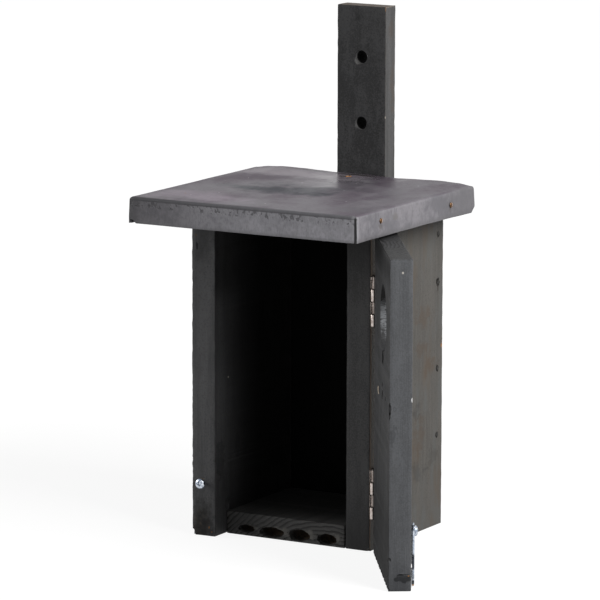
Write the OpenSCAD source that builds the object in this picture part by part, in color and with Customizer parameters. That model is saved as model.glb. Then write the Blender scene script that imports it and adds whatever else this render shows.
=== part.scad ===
// Bird nest box with a flat sheet-covered roof, a hinged full-height door and a hanging batten.
// The box is laid out with its base at z = 0, the right wall's front edge at y = 0 and its middle
// at x = 0. The whole part is then moved so that its origin is the upper hanging hole's axis on
// the batten's rear face. +Z is up and the door's side faces -Y.

/* [Box] */
// Outer width over both side walls
box_w = 154; // [130:1:200]
// Depth of the right wall, and of the box behind the door
box_d = 121; // [100:1:170]
// Height of the side walls and the back panel
wall_h = 261; // [240:1:330]
// Thickness of the rough-sawn side walls
wall_t = 22; // [18:0.5:26]
// Thickness of the back panel
back_t = 18; // [12:0.5:24]
// Thickness of the floor board
floor_t = 19; // [14:0.5:24]
// Open joint between the floor board and the right wall
floor_gap = 0.8; // [0.2:0.1:1.5]

/* [Floor scoops] */
// Number of half-round scoops in the floor's lower front edge
scoop_count = 4; // [2:1:5]
// Distance between scoops
scoop_pitch = 24.7; // [20:0.1:28]
// Radius of a scoop at the front edge
scoop_r = 9; // [5:0.5:9.5]
// How deep a scoop is gouged into the front edge
scoop_depth = 9; // [5:0.5:16]

/* [Roof] */
// Overhang of the roof past the left wall
roof_left = 23.5; // [12:0.5:35]
// Overhang of the roof past the right wall
roof_right = 27; // [12:0.5:35]
// Overhang of the roof in front of the right wall's front edge
roof_front = 73; // [50:1:95]
// Thickness of the roof board
roof_t = 18; // [14:0.5:22]
// Thickness of the rubber sheet
sheet_t = 2; // [1.2:0.1:3]
// How far the flaps hang below the roof board
flap_drop = 1; // [1:0.5:5]
// Slit left open where two flaps meet at a front corner
corner_slit = 0.4; // [0.3:0.1:1]
// Height of the corner cut off each side flap at the rear
flap_cut = 7; // [3:0.5:10]
// How far the loose rear edge of the sheet lifts off the board on the left
left_lift = 2.4; // [0:0.1:6]
// How far the loose rear edge of the sheet lifts off the board on the right
right_lift = 1.2; // [0:0.1:6]
// How far the side flaps stand off the board's edge at the rear
flap_flare = 1.2; // [0:0.1:5]

/* [Batten] */
// Width of the hanging batten
batten_w = 45; // [35:1:60]
// Thickness of the hanging batten
batten_t = 17; // [12:0.5:24]
// Length of the hanging batten
batten_l = 400; // [380:1:460]
// Height of the batten's top above the roof
batten_rise = 139; // [110:1:170]
// Diameter of the hanging holes
hang_hole_d = 10; // [6:0.5:12]
// Depth of the upper hanging hole below the batten's top
hang_hole_drop = 42; // [25:1:50]
// Distance between the two hanging holes
hang_hole_pitch = 54; // [40:1:60]

/* [Door] */
// Thickness of the door
door_t = 18; // [14:0.5:22]
// Gap between the door's top and the roof flaps' lower edge
door_top_gap = 2.5; // [1:0.5:4]
// Gap between the door's free edge and the left wall
door_side_gap = 1.5; // [1:0.5:4]
// Gap between the closed door and the right wall's front edge
door_face_gap = 0.5; // [0.4:0.1:1.5]
// Diameter of the entrance hole
entrance_d = 52; // [28:1:60]
// Depth of the entrance hole's centre below the door's top
entrance_drop = 54.5; // [40:0.5:75]
// How far the door stands open in the model
door_open = 124; // [0:1:180]

/* [Hinges] */
// Length of each butt hinge
hinge_l = 40; // [30:1:60]
// Thickness of a hinge leaf
leaf_t = 1.2; // [0.8:0.1:1.6]
// Reach of a leaf from the hinge axis
leaf_w = 12.5; // [10:0.5:14]
// Outer diameter of the knuckles
knuckle_d = 5; // [4:0.1:6]
// Number of knuckles on each hinge
knuckle_count = 4; // [3:1:5]
// Running gap between the ends of two knuckles
knuckle_gap = 0.2; // [0.1:0.05:0.4]
// Height of the lower hinge's middle
lower_hinge_z = 47; // [35:1:80]
// Depth of the upper hinge's middle below the door's top
upper_hinge_drop = 55.5; // [35:0.5:90]
// Radius of the leaf screws' shanks
leaf_screw_r = 1.5; // [1:0.1:2]
// Radius of the leaf screws' countersunk heads
leaf_screw_head_r = 2.7; // [2.2:0.1:3.2]
// Length of the leaf screws
leaf_screw_l = 14; // [10:1:18]

/* [Latch] */
// Height of the latch's pivot and striker above the base
latch_z = 44; // [38:1:80]
// Distance of the pivot from the door's free edge
pivot_in = 16; // [12:1:30]
// Width of the hook plate
hook_w = 13; // [10:0.5:16]
// Thickness of the hook plate
hook_t = 1.5; // [1:0.1:2]
// Length of the hook from its pivot to its tip
hook_l = 43.5; // [40:0.5:60]
// Thickness of the washer behind the hook
washer_t = 1.5; // [1:0.1:2.5]
// Radius of the washer
washer_r = 4.5; // [3.5:0.5:6]
// Radius of both latch screws' shanks
latch_screw_r = 1.7; // [1.4:0.1:2]
// Radius of both latch screws' pan heads
pan_head_r = 4.2; // [3.5:0.1:5]
// Height of both latch screws' pan heads
pan_head_h = 3; // [2:0.1:4]
// How deep the latch screws go into the wood
latch_screw_depth = 14; // [8:1:16]

/* [Nails, tacks and batten screws] */
// Radius of the wall nails
nail_r = 1.2; // [0.9:0.1:1.6]
// Radius of the wall nails' small heads
nail_head_r = 1.7; // [1.3:0.1:2.4]
// Length of the wall nails
nail_l = 45; // [35:1:50]
// Radius of the roof nails' flat heads
roof_nail_head_r = 3; // [2.2:0.1:4]
// Radius of the copper tacks' heads
tack_head_r = 2; // [1.5:0.1:3]
// Radius of the copper tacks' shanks
tack_r = 0.8; // [0.6:0.1:1.2]
// Length of the copper tacks under their heads
tack_l = 12; // [8:1:16]
// Radius of the batten screws' shanks
batten_screw_r = 2; // [1.5:0.1:2.5]
// Radius of the batten screws' countersunk heads
batten_screw_head_r = 4; // [3.2:0.1:5]
// Length of the batten screws
batten_screw_l = 32; // [28:1:34]
// Distance of the lowest batten screw from the batten's lower end
batten_screw_end = 38; // [20:1:60]

/* [Hidden] */
$fn = 48;

// Clearances shared by all fits
shank_gap = 0.05;   // round a nail, tack, screw or pin in its hole
hook_gap = 0.1;     // each side of the hook plate, between washer and screw head
over = 1;           // overrun of a cut past the face that it opens

// Box, worked out
inner_w = box_w - 2 * wall_t;
right_x = box_w / 2;
left_in_x = wall_t - box_w / 2;
left_step = door_t;               // the left wall stands forward by the door's thickness
back_y = box_d - back_t;
roof_base_z = wall_h;
board_top_z = roof_base_z + roof_t;
roof_top_z = board_top_z + sheet_t;
flap_z = roof_base_z - flap_drop;
flap_h = roof_top_z - flap_z;

// Batten, worked out
batten_top_z = roof_top_z + batten_rise;
batten_z = batten_top_z - batten_l;
upper_hole_z = batten_top_z - hang_hole_drop;
lower_hole_z = upper_hole_z - hang_hole_pitch;

// Door, worked out
door_h = flap_z - door_top_gap;
door_w = box_w - wall_t - door_side_gap;
free_edge_x = right_x - door_w;
door_out_y = -door_face_gap - door_t;
entrance_z = door_h - entrance_drop;

// Hinge, worked out: the leaves lie on the outer side, and the barrel clears the wood's corners
barrel_lift = 0.3;
knuckle_r = knuckle_d / 2;
pin_r = knuckle_r - leaf_t - shank_gap;
pin_end = 0.6;                    // how far a pin stands out of its barrel
axis_x = right_x + knuckle_r + barrel_lift;
axis_y = -door_face_gap / 2;
knuckle_l = hinge_l / knuckle_count;
leaf_back = -knuckle_r - barrel_lift;      // the leaf's wood side, seen from the axis
leaf_root = knuckle_r + barrel_lift;       // where the plate starts, clear of the other knuckles
leaf_screw_y = (leaf_root + leaf_w) / 2;
leaf_screw_dz = 5 * hinge_l / 16;          // from the hinge's middle
leaf_sink = 4 * leaf_t / 5;                // depth of the countersink in a leaf
upper_hinge_z = door_h - upper_hinge_drop;
hinge_heights = [lower_hinge_z, upper_hinge_z];

// Latch, worked out
pivot_x = free_edge_x + pivot_in;
striker_x = -box_w / 2 + wall_t / 2;
reach = pivot_x - striker_x;
hook_r = hook_w / 2;
hook_y = door_out_y - washer_t - hook_gap;           // the plate's wood side
pivot_head_y = hook_y - hook_t - hook_gap;           // underside of the pivot screw's head
notch_gap = 0.25;                                    // between the notch and the striker
notch_r = latch_screw_r + notch_gap;
striker_room = 0.5;                                  // between the plate and the striker's head
striker_head_y = hook_y - hook_t - striker_room;
recess_w = pan_head_r / 4;
recess_l = pan_head_r;
recess_depth = pan_head_h / 2;

// Nails and screws, worked out. The shares are of the wall's height, the box's depth and the
// roof's depth, counted from the base and from the front
back_nail_shares = [0.29, 0.5, 0.77, 0.923];
floor_nail_shares = [0.17, 0.5];
roof_nail_shares = [0.17, 0.7];
tack_shares = [0.205, 0.795];
nail_head_h = 2 * nail_r / 3;
nail_tip = 2 * nail_r;
nail_y = back_y + back_t / 2;
roof_nail_x = inner_w / 4;
tack_head_h = 2 * tack_head_r / 5;
tack_tip = 2 * tack_r;
roof_mid_z = roof_base_z + roof_t / 2;
low_screw_z = batten_z + batten_screw_end;
batten_screw_z = [low_screw_z, (low_screw_z + roof_mid_z) / 2, roof_mid_z];
batten_screw_sink = 3 * batten_screw_head_r / 4;
roof_d = box_d + roof_front;
roof_w = box_w + roof_left + roof_right;
roof_mid_x = (roof_right - roof_left) / 2;

// Form of the sheet. It lies flat up to the first share of the roof's depth and lifts behind it
lift_start_share = 0.45;
ring_shares = [0, 0.45, 0.6, 0.7, 0.8, 0.88];
hump_base_share = 0.35;           // lift at the middle and at the creases, of the humps' lift
across_steps = 16;
flap_steps = 3;
rear_across_share = 0.467;        // place of the tack that holds the rear edge
rear_depth_share = 0.945;

stain = [0.27, 0.28, 0.28];
raw_wood = [0.33, 0.31, 0.29];
rubber = [0.40, 0.40, 0.41];
zinc = [0.78, 0.79, 0.80];
copper = [0.72, 0.43, 0.27];

// Placement

// Moves the box so that the upper hanging hole's axis on the batten's rear face is the origin
module hung() {
    translate([0, -box_d - batten_t, -upper_hole_z]) children();
}

// Swings a piece of the closed door about the hinge axis to where the door stands open
module on_door() {
    hung() translate([axis_x, axis_y, 0]) rotate([0, 0, door_open])
        translate([-axis_x, -axis_y, 0]) children();
}

// Fasteners: each points along +Z, with its head's top at z = 0, and grow makes its hole

module nail(l, head_r, grow = 0) {
    rotate_extrude() polygon([
        [0, grow], [head_r + grow, grow], [head_r + grow, -nail_head_h - grow],
        [nail_r + grow, -nail_head_h - grow], [nail_r + grow, nail_tip - l],
        [nail_r / 4 + grow, -l - grow], [0, -l - grow],
    ]);
}

module flat_head_screw(l, shank_r, head_r, sink, grow = 0) {
    rotate_extrude() polygon([
        [0, grow], [head_r + grow, grow], [head_r + grow, 0], [shank_r + grow, -sink - grow],
        [shank_r + grow, 2 * shank_r - l], [shank_r / 4 + grow, -l - grow], [0, -l - grow],
    ]);
}

// Domed head with a cross recess; its underside is at z = 0, and the shank runs down from there
module pan_screw(shank) {
    dome_r = (pan_head_r * pan_head_r + pan_head_h * pan_head_h) / (2 * pan_head_h) + pan_head_r / 4;
    difference() {
        intersection() {
            cylinder(r = pan_head_r, h = pan_head_h);
            translate([0, 0, pan_head_h - dome_r]) sphere(r = dome_r);
        }
        for (turn = [0, 90]) rotate([0, 0, turn])
            translate([-recess_l / 2, -recess_w / 2, pan_head_h - recess_depth])
                cube([recess_l, recess_w, recess_depth + over]);
    }
    pan_shank(shank);
}

module pan_shank(shank, grow = 0) {
    rotate_extrude() polygon([
        [0, 0], [latch_screw_r + grow, 0], [latch_screw_r + grow, 2 * latch_screw_r - shank],
        [latch_screw_r / 4 + grow, -shank - grow], [0, -shank - grow],
    ]);
}

// Nails of one side wall: a row into the back panel and a pair into the floor board
module wall_nails(side, grow = 0) {
    for (share = back_nail_shares) translate([side * right_x, nail_y, share * wall_h])
        rotate([0, side * 90, 0]) nail(nail_l, nail_head_r, grow);
    for (share = floor_nail_shares) translate([side * right_x, share * box_d, floor_t / 2])
        rotate([0, side * 90, 0]) nail(nail_l, nail_head_r, grow);
}

module all_wall_nails(grow = 0) {
    for (side = [-1, 1]) wall_nails(side, grow);
}

module all_roof_nails(grow = 0) {
    wall_mid = right_x - wall_t / 2;
    for (side = [-1, 1]) {
        for (share = roof_nail_shares) translate([side * wall_mid, share * box_d, board_top_z])
            nail(nail_l, roof_nail_head_r, grow);
        translate([side * roof_nail_x, nail_y, board_top_z]) nail(nail_l, roof_nail_head_r, grow);
    }
}

// Tacks pierce the side flaps and go into the roof board's edges; one more holds the rear edge
module all_tacks(grow = 0) {
    for (side = [-1, 1], share = tack_shares)
        translate([roof_mid_x + side * (roof_w + flare_at(share)) / 2, share * roof_d - roof_front, roof_mid_z])
            rotate([0, side * 90, 0]) tack(grow);
    across = 2 * rear_across_share - 1;
    translate([roof_mid_x + across * roof_w / 2, rear_depth_share * roof_d - roof_front,
        roof_top_z + lift_at(across, rear_depth_share)]) tack(grow);
}

module tack(grow = 0) {
    rotate_extrude() polygon([
        [0, tack_head_h], [tack_head_r / 2, tack_head_h], [tack_head_r + grow, 0], [tack_r + grow, 0],
        [tack_r + grow, tack_tip - tack_l], [tack_r / 4 + grow, -tack_l - grow], [0, -tack_l - grow],
    ]);
}

module all_batten_screws(grow = 0) {
    for (z = batten_screw_z) translate([0, box_d + batten_t, z]) rotate([-90, 0, 0])
        flat_head_screw(batten_screw_l, batten_screw_r, batten_screw_head_r, batten_screw_sink, grow);
}

// Leaf screws of one side: side is 1 for the wall leaves and -1 for the door leaves
module leaf_screws(side, grow = 0) {
    for (z = hinge_heights, dz = [-leaf_screw_dz, leaf_screw_dz])
        translate([axis_x + leaf_back + leaf_t, axis_y + side * leaf_screw_y, z + dz]) rotate([0, 90, 0])
            flat_head_screw(leaf_screw_l, leaf_screw_r, leaf_screw_head_r, leaf_sink, grow);
}

// Box

module left_wall() {
    color(stain) hung() difference() {
        translate([-right_x, -left_step, 0]) cube([wall_t, box_d + left_step, wall_h]);
        wall_nails(-1, shank_gap);
        all_roof_nails(shank_gap);
        at_striker() pan_shank(striker_shank, shank_gap);
    }
}

module right_wall() {
    color(stain) hung() difference() {
        translate([right_x - wall_t, 0, 0]) cube([wall_t, box_d, wall_h]);
        wall_nails(1, shank_gap);
        all_roof_nails(shank_gap);
        leaf_screws(1, shank_gap);
    }
}

module back_panel() {
    color(stain) hung() difference() {
        translate([left_in_x, back_y, 0]) cube([inner_w, back_t, wall_h]);
        all_wall_nails(shank_gap);
        all_roof_nails(shank_gap);
        all_batten_screws(shank_gap);
    }
}

module floor_board() {
    floor_w = inner_w - floor_gap;
    color(stain) hung() difference() {
        translate([left_in_x, 0, 0]) cube([floor_w, back_y, floor_t]);
        for (i = [0 : scoop_count - 1])
            translate([(i - (scoop_count - 1) / 2) * scoop_pitch, 0, 0]) scoop();
        all_wall_nails(shank_gap);
    }
}

// Half a pit at the lower front edge: its slope faces forwards, so the torn wood shows
module scoop() {
    slope = (scoop_r - scoop_r / 3) / scoop_depth;
    rotate([-90, 0, 0]) translate([0, 0, -over])
        cylinder(r1 = scoop_r + slope * over, r2 = scoop_r / 3, h = scoop_depth + over);
}

module left_wall_nails() {
    color(zinc) hung() wall_nails(-1);
}

module right_wall_nails() {
    color(zinc) hung() wall_nails(1);
}

// Roof

module roof_board() {
    board_w = roof_w - 2 * sheet_t;
    color(raw_wood) hung() difference() {
        translate([roof_mid_x - board_w / 2, sheet_t - roof_front, roof_base_z])
            cube([board_w, roof_d - sheet_t, roof_t]);
        all_roof_nails(shank_gap);
        all_tacks(shank_gap);
        all_batten_screws(shank_gap);
    }
}

module roof_nails() {
    color(zinc) hung() all_roof_nails();
}

// The sheet lies on the board, and its three flaps fold down over the board's edges. Top and side
// flaps are one strip swept from front to rear: it lifts into two humps at the loose rear edge
module roof_sheet() {
    front_w = roof_w - 2 * (sheet_t + corner_slit);
    color(rubber) hung() difference() {
        translate([roof_mid_x, 0, 0]) union() {
            swept_strip();
            translate([-front_w / 2, -roof_front, flap_z]) cube([front_w, sheet_t, flap_h]);
        }
        all_tacks(shank_gap);
    }
}

// How far behind the flat part a ring lies, eased from 0 to 1 at the rear edge
function ease(share) = pow(max(0, (share - lift_start_share) / (1 - lift_start_share)), 2);
function flare_at(share) = flap_flare * ease(share);

// Lift of the sheet at x, which runs from -1 to 1 across the roof
function hump(x) = hump_base_share + (1 - hump_base_share) * sin(180 * x * x);
function lift_at(x, share) = ease(share) * hump(x) * (left_lift + (right_lift - left_lift) * (x + 1) / 2);

// Lower edge of a side flap, cut off slantwise at the rear
function flap_low(share) = flap_z + max(0, flap_cut - (1 - share) * roof_d);

// One side of the strip in a ring, from the left flap's lower edge over the top to the right's.
// off is 0 on the outside and the sheet's thickness on the inside
function flap_points(side, share, off) = [
    for (i = [0 : flap_steps - 1]) let (down = 1 - i / flap_steps, top = roof_top_z + lift_at(side, share))
        [side * (roof_w / 2 - off + flare_at(share) * down), top - down * (top - flap_low(share))]
];
function top_points(share, off) = [
    for (i = [0 : across_steps]) let (x = 2 * i / across_steps - 1)
        [x * (roof_w / 2 - off), roof_top_z - off + lift_at(x, share)]
];
function reversed(list) = [for (i = [len(list) - 1 : -1 : 0]) list[i]];
function side_of_strip(share, off) = concat(
    flap_points(-1, share, off), top_points(share, off), reversed(flap_points(1, share, off)));
function ring(share) = [
    for (p = concat(side_of_strip(share, 0), reversed(side_of_strip(share, sheet_t))))
        [p[0], share * roof_d - roof_front, p[1]]
];

module swept_strip() {
    shares = concat(ring_shares, [1 - flap_cut / roof_d, 1]);
    rings = [for (share = shares) ring(share)];
    n = len(rings[0]);
    last = len(shares) - 1;
    walls = [
        for (r = [0 : last - 1], i = [0 : n - 1]) let (a = r * n + i, b = r * n + (i + 1) % n)
            each [[a, a + n, b], [b, a + n, b + n]]
    ];
    ends = [
        for (i = [0 : n / 2 - 2]) let (a = i, b = i + 1, c = n - 2 - i, d = n - 1 - i, e = last * n)
            each [[a, b, d], [b, c, d], [e + a, e + d, e + b], [e + b, e + d, e + c]]
    ];
    polyhedron(points = [for (ring_points = rings) each ring_points], faces = concat(walls, ends), convexity = 4);
}

module roof_tacks() {
    color(copper) hung() all_tacks();
}

// Batten

module hanging_batten() {
    color(stain) hung() difference() {
        translate([-batten_w / 2, box_d, batten_z]) cube([batten_w, batten_t, batten_l]);
        for (z = [upper_hole_z, lower_hole_z]) translate([0, box_d - over, z])
            rotate([-90, 0, 0]) cylinder(d = hang_hole_d, h = batten_t + 2 * over);
        all_batten_screws(shank_gap);
    }
}

module batten_screws() {
    color(zinc) hung() all_batten_screws();
}

// Door

module door_panel() {
    color(stain) on_door() difference() {
        translate([free_edge_x, door_out_y, 0]) cube([door_w, door_t, door_h]);
        translate([0, door_out_y - over, entrance_z]) rotate([-90, 0, 0])
            cylinder(d = entrance_d, h = door_t + 2 * over);
        leaf_screws(-1, shank_gap);
        at_pivot() pan_shank(pivot_shank, shank_gap);
    }
}

// Hinges

// Rolled leaf: side is 1 for the wall leaf and -1 for the door leaf
module hinge_leaf(mid_z, side) {
    first = side > 0 ? 0 : 1;
    translate([axis_x, axis_y, mid_z - hinge_l / 2]) difference() {
        union() {
            linear_extrude(height = hinge_l) leaf_plate(side, leaf_root);
            for (k = [first : 2 : knuckle_count - 1]) {
                z0 = k * knuckle_l + (k == 0 ? 0 : knuckle_gap / 2);
                z1 = (k + 1) * knuckle_l - (k == knuckle_count - 1 ? 0 : knuckle_gap / 2);
                translate([0, 0, z0]) linear_extrude(height = z1 - z0) {
                    circle(r = knuckle_r);
                    leaf_plate(side, 0);
                }
            }
        }
        translate([0, 0, -over]) cylinder(r = pin_r + shank_gap, h = hinge_l + 2 * over);
    }
}

module leaf_plate(side, from) {
    y0 = side > 0 ? from : -leaf_w;
    translate([leaf_back, y0]) square([leaf_t, leaf_w - from]);
}

module hinge_pin(mid_z) {
    translate([axis_x, axis_y, mid_z - hinge_l / 2 - pin_end]) cylinder(r = pin_r, h = hinge_l + 2 * pin_end);
}

module upper_wall_leaf() {
    color(zinc) hung() difference() {
        hinge_leaf(upper_hinge_z, 1);
        leaf_screws(1, shank_gap);
    }
}

module lower_wall_leaf() {
    color(zinc) hung() difference() {
        hinge_leaf(lower_hinge_z, 1);
        leaf_screws(1, shank_gap);
    }
}

module upper_door_leaf() {
    color(zinc) on_door() difference() {
        hinge_leaf(upper_hinge_z, -1);
        leaf_screws(-1, shank_gap);
    }
}

module lower_door_leaf() {
    color(zinc) on_door() difference() {
        hinge_leaf(lower_hinge_z, -1);
        leaf_screws(-1, shank_gap);
    }
}

module upper_hinge_pin() {
    color(zinc) hung() hinge_pin(upper_hinge_z);
}

module lower_hinge_pin() {
    color(zinc) hung() hinge_pin(lower_hinge_z);
}

module wall_leaf_screws() {
    color(zinc) hung() leaf_screws(1);
}

module door_leaf_screws() {
    color(zinc) on_door() leaf_screws(-1);
}

// Latch

pivot_shank = door_out_y - pivot_head_y + latch_screw_depth;
striker_shank = -left_step - striker_head_y + latch_screw_depth;

module at_pivot() {
    translate([pivot_x, pivot_head_y, latch_z]) rotate([90, 0, 0]) children();
}

module at_striker() {
    translate([striker_x, striker_head_y, latch_z]) rotate([90, 0, 0]) children();
}

// Plate that hangs from its pivot; turned up beside the wall, its notch drops over the striker
module latch_hook() {
    color(zinc) on_door() translate([pivot_x, hook_y, latch_z]) rotate([90, 0, 0])
        linear_extrude(height = hook_t) difference() {
            union() {
                circle(r = hook_r);
                translate([-hook_r, hook_r - hook_l]) square([hook_w, hook_l - hook_r]);
                translate([0, hook_r - hook_l]) circle(r = hook_r);
            }
            circle(r = latch_screw_r + shank_gap);
            translate([0, -reach]) circle(r = notch_r);
            translate([0, -reach - notch_r]) square([hook_r + over, 2 * notch_r]);
        }
}

module latch_washer() {
    color(zinc) on_door() translate([pivot_x, door_out_y, latch_z]) rotate([90, 0, 0]) difference() {
        cylinder(r = washer_r, h = washer_t);
        translate([0, 0, -over]) cylinder(r = latch_screw_r + shank_gap, h = washer_t + 2 * over);
    }
}

module latch_pivot_screw() {
    color(zinc) on_door() at_pivot() pan_screw(pivot_shank);
}

module striker_screw() {
    color(zinc) hung() at_striker() pan_screw(striker_shank);
}

left_wall();
right_wall();
back_panel();
floor_board();
left_wall_nails();
right_wall_nails();
roof_board();
roof_nails();
roof_sheet();
roof_tacks();
hanging_batten();
batten_screws();
door_panel();
upper_wall_leaf();
upper_door_leaf();
upper_hinge_pin();
lower_wall_leaf();
lower_door_leaf();
lower_hinge_pin();
wall_leaf_screws();
door_leaf_screws();
latch_hook();
latch_washer();
latch_pivot_screw();
striker_screw();
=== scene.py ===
from math import cos, exp, pi, radians, sin

import bpy
from mathutils import Matrix, Vector


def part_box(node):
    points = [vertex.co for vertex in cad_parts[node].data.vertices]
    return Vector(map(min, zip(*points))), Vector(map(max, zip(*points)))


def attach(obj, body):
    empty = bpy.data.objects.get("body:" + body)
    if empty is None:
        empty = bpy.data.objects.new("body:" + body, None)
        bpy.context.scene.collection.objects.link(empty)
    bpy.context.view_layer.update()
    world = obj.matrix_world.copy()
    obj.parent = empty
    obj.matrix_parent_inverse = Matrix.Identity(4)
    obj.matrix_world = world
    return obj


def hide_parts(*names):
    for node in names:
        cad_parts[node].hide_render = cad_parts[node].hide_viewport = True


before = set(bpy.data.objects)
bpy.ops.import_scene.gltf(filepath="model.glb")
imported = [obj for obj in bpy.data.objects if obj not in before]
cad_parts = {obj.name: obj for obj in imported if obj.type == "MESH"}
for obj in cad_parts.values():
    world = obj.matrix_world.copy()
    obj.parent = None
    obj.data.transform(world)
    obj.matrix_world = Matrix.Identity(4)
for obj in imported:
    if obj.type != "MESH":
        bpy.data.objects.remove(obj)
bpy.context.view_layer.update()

# Camera
# A long lens looks a little down on the box from its right-hand front side, as the photograph
# does. The aim is a point inside the box, in metres from the upper hanging hole.
aim, camera_distance = Vector((0.012846, -0.138, -0.180691)), 3.56865
turned_by, raised_by, rolled_by = radians(29.885), radians(9.864), radians(0.140)


def direction(turn, height):
    """The way from the aim to a place that is turned right of the front and raised."""
    return Vector((sin(turn) * cos(height), -cos(turn) * cos(height), sin(height)))


towards_camera = direction(turned_by, raised_by)
bpy.ops.object.camera_add(location=aim + camera_distance * towards_camera)
camera = bpy.context.object
level_right = Vector((cos(turned_by), sin(turned_by), 0))
level_up = towards_camera.cross(level_right)
camera_right = level_right * cos(rolled_by) + level_up * sin(rolled_by)
camera_up = level_up * cos(rolled_by) - level_right * sin(rolled_by)
camera.rotation_euler = Matrix((camera_right, camera_up, towards_camera)).transposed().to_euler()
camera.data.sensor_width = 36
camera.data.lens = 270
camera.data.clip_end = 60
bpy.context.scene.camera = camera
bpy.context.scene.view_settings.view_transform = "Standard"


# Floor
# A plain pale studio floor just under the box's base. The camera sees it white, a little less so
# near the box, where the box's soft shadow lies on it.
class Nodes:
    """Writes the nodes of one material, world or group."""

    def __init__(self, tree):
        self.tree = tree

    def feed(self, socket, value):
        """Links a socket to another one, or writes a plain value on it."""
        if isinstance(value, bpy.types.NodeSocket):
            self.tree.links.new(value, socket)
        elif value is not None:
            socket.default_value = value

    def node(self, kind, fed, **settings):
        """A node with its settings, and its inputs fed by number or by name."""
        made = self.tree.nodes.new("ShaderNode" + kind)
        made.location = (180 * (len(self.tree.nodes) % 8), -260 * (len(self.tree.nodes) // 8))
        for name, value in settings.items():
            setattr(made, name, value)
        for socket, value in fed.items():
            self.feed(made.inputs[socket], value)
        return made

    def calc(self, operation, *values):
        """Takes the values one after another, as a sum or a product does."""
        result = values[0]
        for value in values[1:] or (None,):
            result = self.node("Math", {0: result, 1: value}, operation=operation).outputs[0]
        return result

    def ease(self, value, start, end, low=0.0, high=1.0):
        """Runs from low to high as the value runs from start to end, and stays there beyond."""
        fed = {"Value": value, "From Min": start, "From Max": end, "To Min": low, "To Max": high}
        return self.node("MapRange", fed, interpolation_type="SMOOTHSTEP").outputs["Result"]

    def seen(self):
        """1 for what the camera sees straight, through glass or in a shiny face, and else 0."""
        path = self.node("LightPath", {}).outputs
        rays = (path[f"Is {ray} Ray"] for ray in ("Camera", "Transmission", "Glossy"))
        return self.calc("MAXIMUM", *rays)

    def shade(self, shader, **looks):
        """Feeds the shader's inputs by name, with _ for a space."""
        for name, value in looks.items():
            self.feed(self.tree.nodes[shader].inputs[name.replace("_", " ")], value)


floor_middle, floor_radius = (0, -0.14, -0.3781), 9
bpy.ops.mesh.primitive_circle_add(
    vertices=96, radius=floor_radius, fill_type="NGON", location=floor_middle)
floor = bpy.context.object
floor.name = "studio_floor"
floor_paint = bpy.data.materials.new("studio_floor")
floor_paint.use_nodes = True
nodes = Nodes(floor_paint.node_tree)
floor_place = nodes.node("TexCoord", {}).outputs["Object"]
from_box = nodes.node("VectorMath", {0: floor_place}, operation="LENGTH").outputs["Value"]
glow = nodes.ease(from_box, 0.3, 1.0, 0.9, 1.0)
nodes.shade("Principled BSDF", Base_Color=(0.2, 0.2, 0.2, 1), Roughness=1, Specular_IOR_Level=0,
            Emission_Color=(1, 1, 1, 1), Emission_Strength=nodes.calc("MULTIPLY", nodes.seen(), glow))
floor.data.materials.append(floor_paint)


# Light
# A large soft lamp stands on the right and a weak one on the left. The room itself gives almost
# nothing, so the inside of the box stays black, as in the photograph.
def studio_lamp(name, azimuth, height, distance, size, power):
    from_aim = direction(radians(azimuth), radians(height))
    bpy.ops.object.light_add(type="AREA", location=aim + distance * from_aim)
    lamp = bpy.context.object
    lamp.name = name
    lamp.data.size, lamp.data.energy = size, power
    lamp.rotation_euler = from_aim.to_track_quat("Z", "Y").to_euler()


studio_lamp("lamp_right", 78, 34, 1.4, 0.7, 23)
studio_lamp("lamp_left", -70, 14, 1.6, 0.8, 9)
room_light = 0.04
room = bpy.data.worlds.new("room")
bpy.context.scene.world = room
room.use_nodes = True
nodes = Nodes(room.node_tree)
nodes.shade("Background", Color=(1, 1, 1, 1), Strength=nodes.ease(nodes.seen(), 0, 1, room_light, 1))


# Side walls
# Two rough-sawn softwood boards, stained dark grey, stand upright with their grain up and down.
# The left one reaches further forward, because the closed door lies against its inner face, and
# both are nailed to the back panel and the floor board.
def place(x, y, z):
    """Millimetres from the box's middle, the right wall's front and the base, as metres here."""
    return Vector((x / 1000, (y - 138) / 1000, (z - 378) / 1000))


def pick(piece):
    bpy.ops.object.select_all(action="DESELECT")
    piece.select_set(True)
    bpy.context.view_layer.objects.active = piece


def begin_edit(piece, select="SELECT"):
    pick(piece)
    bpy.ops.object.mode_set(mode="EDIT")
    bpy.ops.mesh.select_mode(type="FACE")
    bpy.ops.mesh.select_all(action=select)


def end_edit():
    bpy.ops.object.mode_set(mode="OBJECT")


def settle(name, piece=None):
    """Writes a piece's place, turn and scale into its mesh: the one just added, unless named."""
    piece = piece or bpy.context.object
    piece.name = piece.data.name = name
    pick(piece)
    bpy.ops.object.transform_apply(location=True, rotation=True, scale=True)
    return piece


def block(name, low, high):
    """A plain block between two corners, to be shaped further."""
    bpy.ops.object.select_all(action="DESELECT")
    bpy.ops.mesh.primitive_cube_add(size=1, location=(low + high) / 2)
    bpy.context.object.scale = high - low
    return settle(name)


def cut_across(piece, axis, places):
    """New edges round the piece where planes square to an axis meet it."""
    begin_edit(piece)
    for at in places:
        point, normal = [0, 0, 0], [0, 0, 0]
        point[axis], normal[axis] = at, 1
        bpy.ops.mesh.select_all(action="SELECT")
        bpy.ops.mesh.bisect(plane_co=point, plane_no=normal)
    end_edit()


def apply_modifier(piece, kind, **settings):
    pick(piece)
    modifier = piece.modifiers.new(kind.lower(), kind)
    for key, value in settings.items():
        setattr(modifier, key, value)
    bpy.ops.object.modifier_apply(modifier=modifier.name)


def cut_out(piece, cutter):
    """Takes the cutter's shape out of the piece and throws the cutter away."""
    apply_modifier(piece, "BOOLEAN", operation="DIFFERENCE", solver="EXACT", object=cutter)
    bpy.data.objects.remove(cutter)


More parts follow.
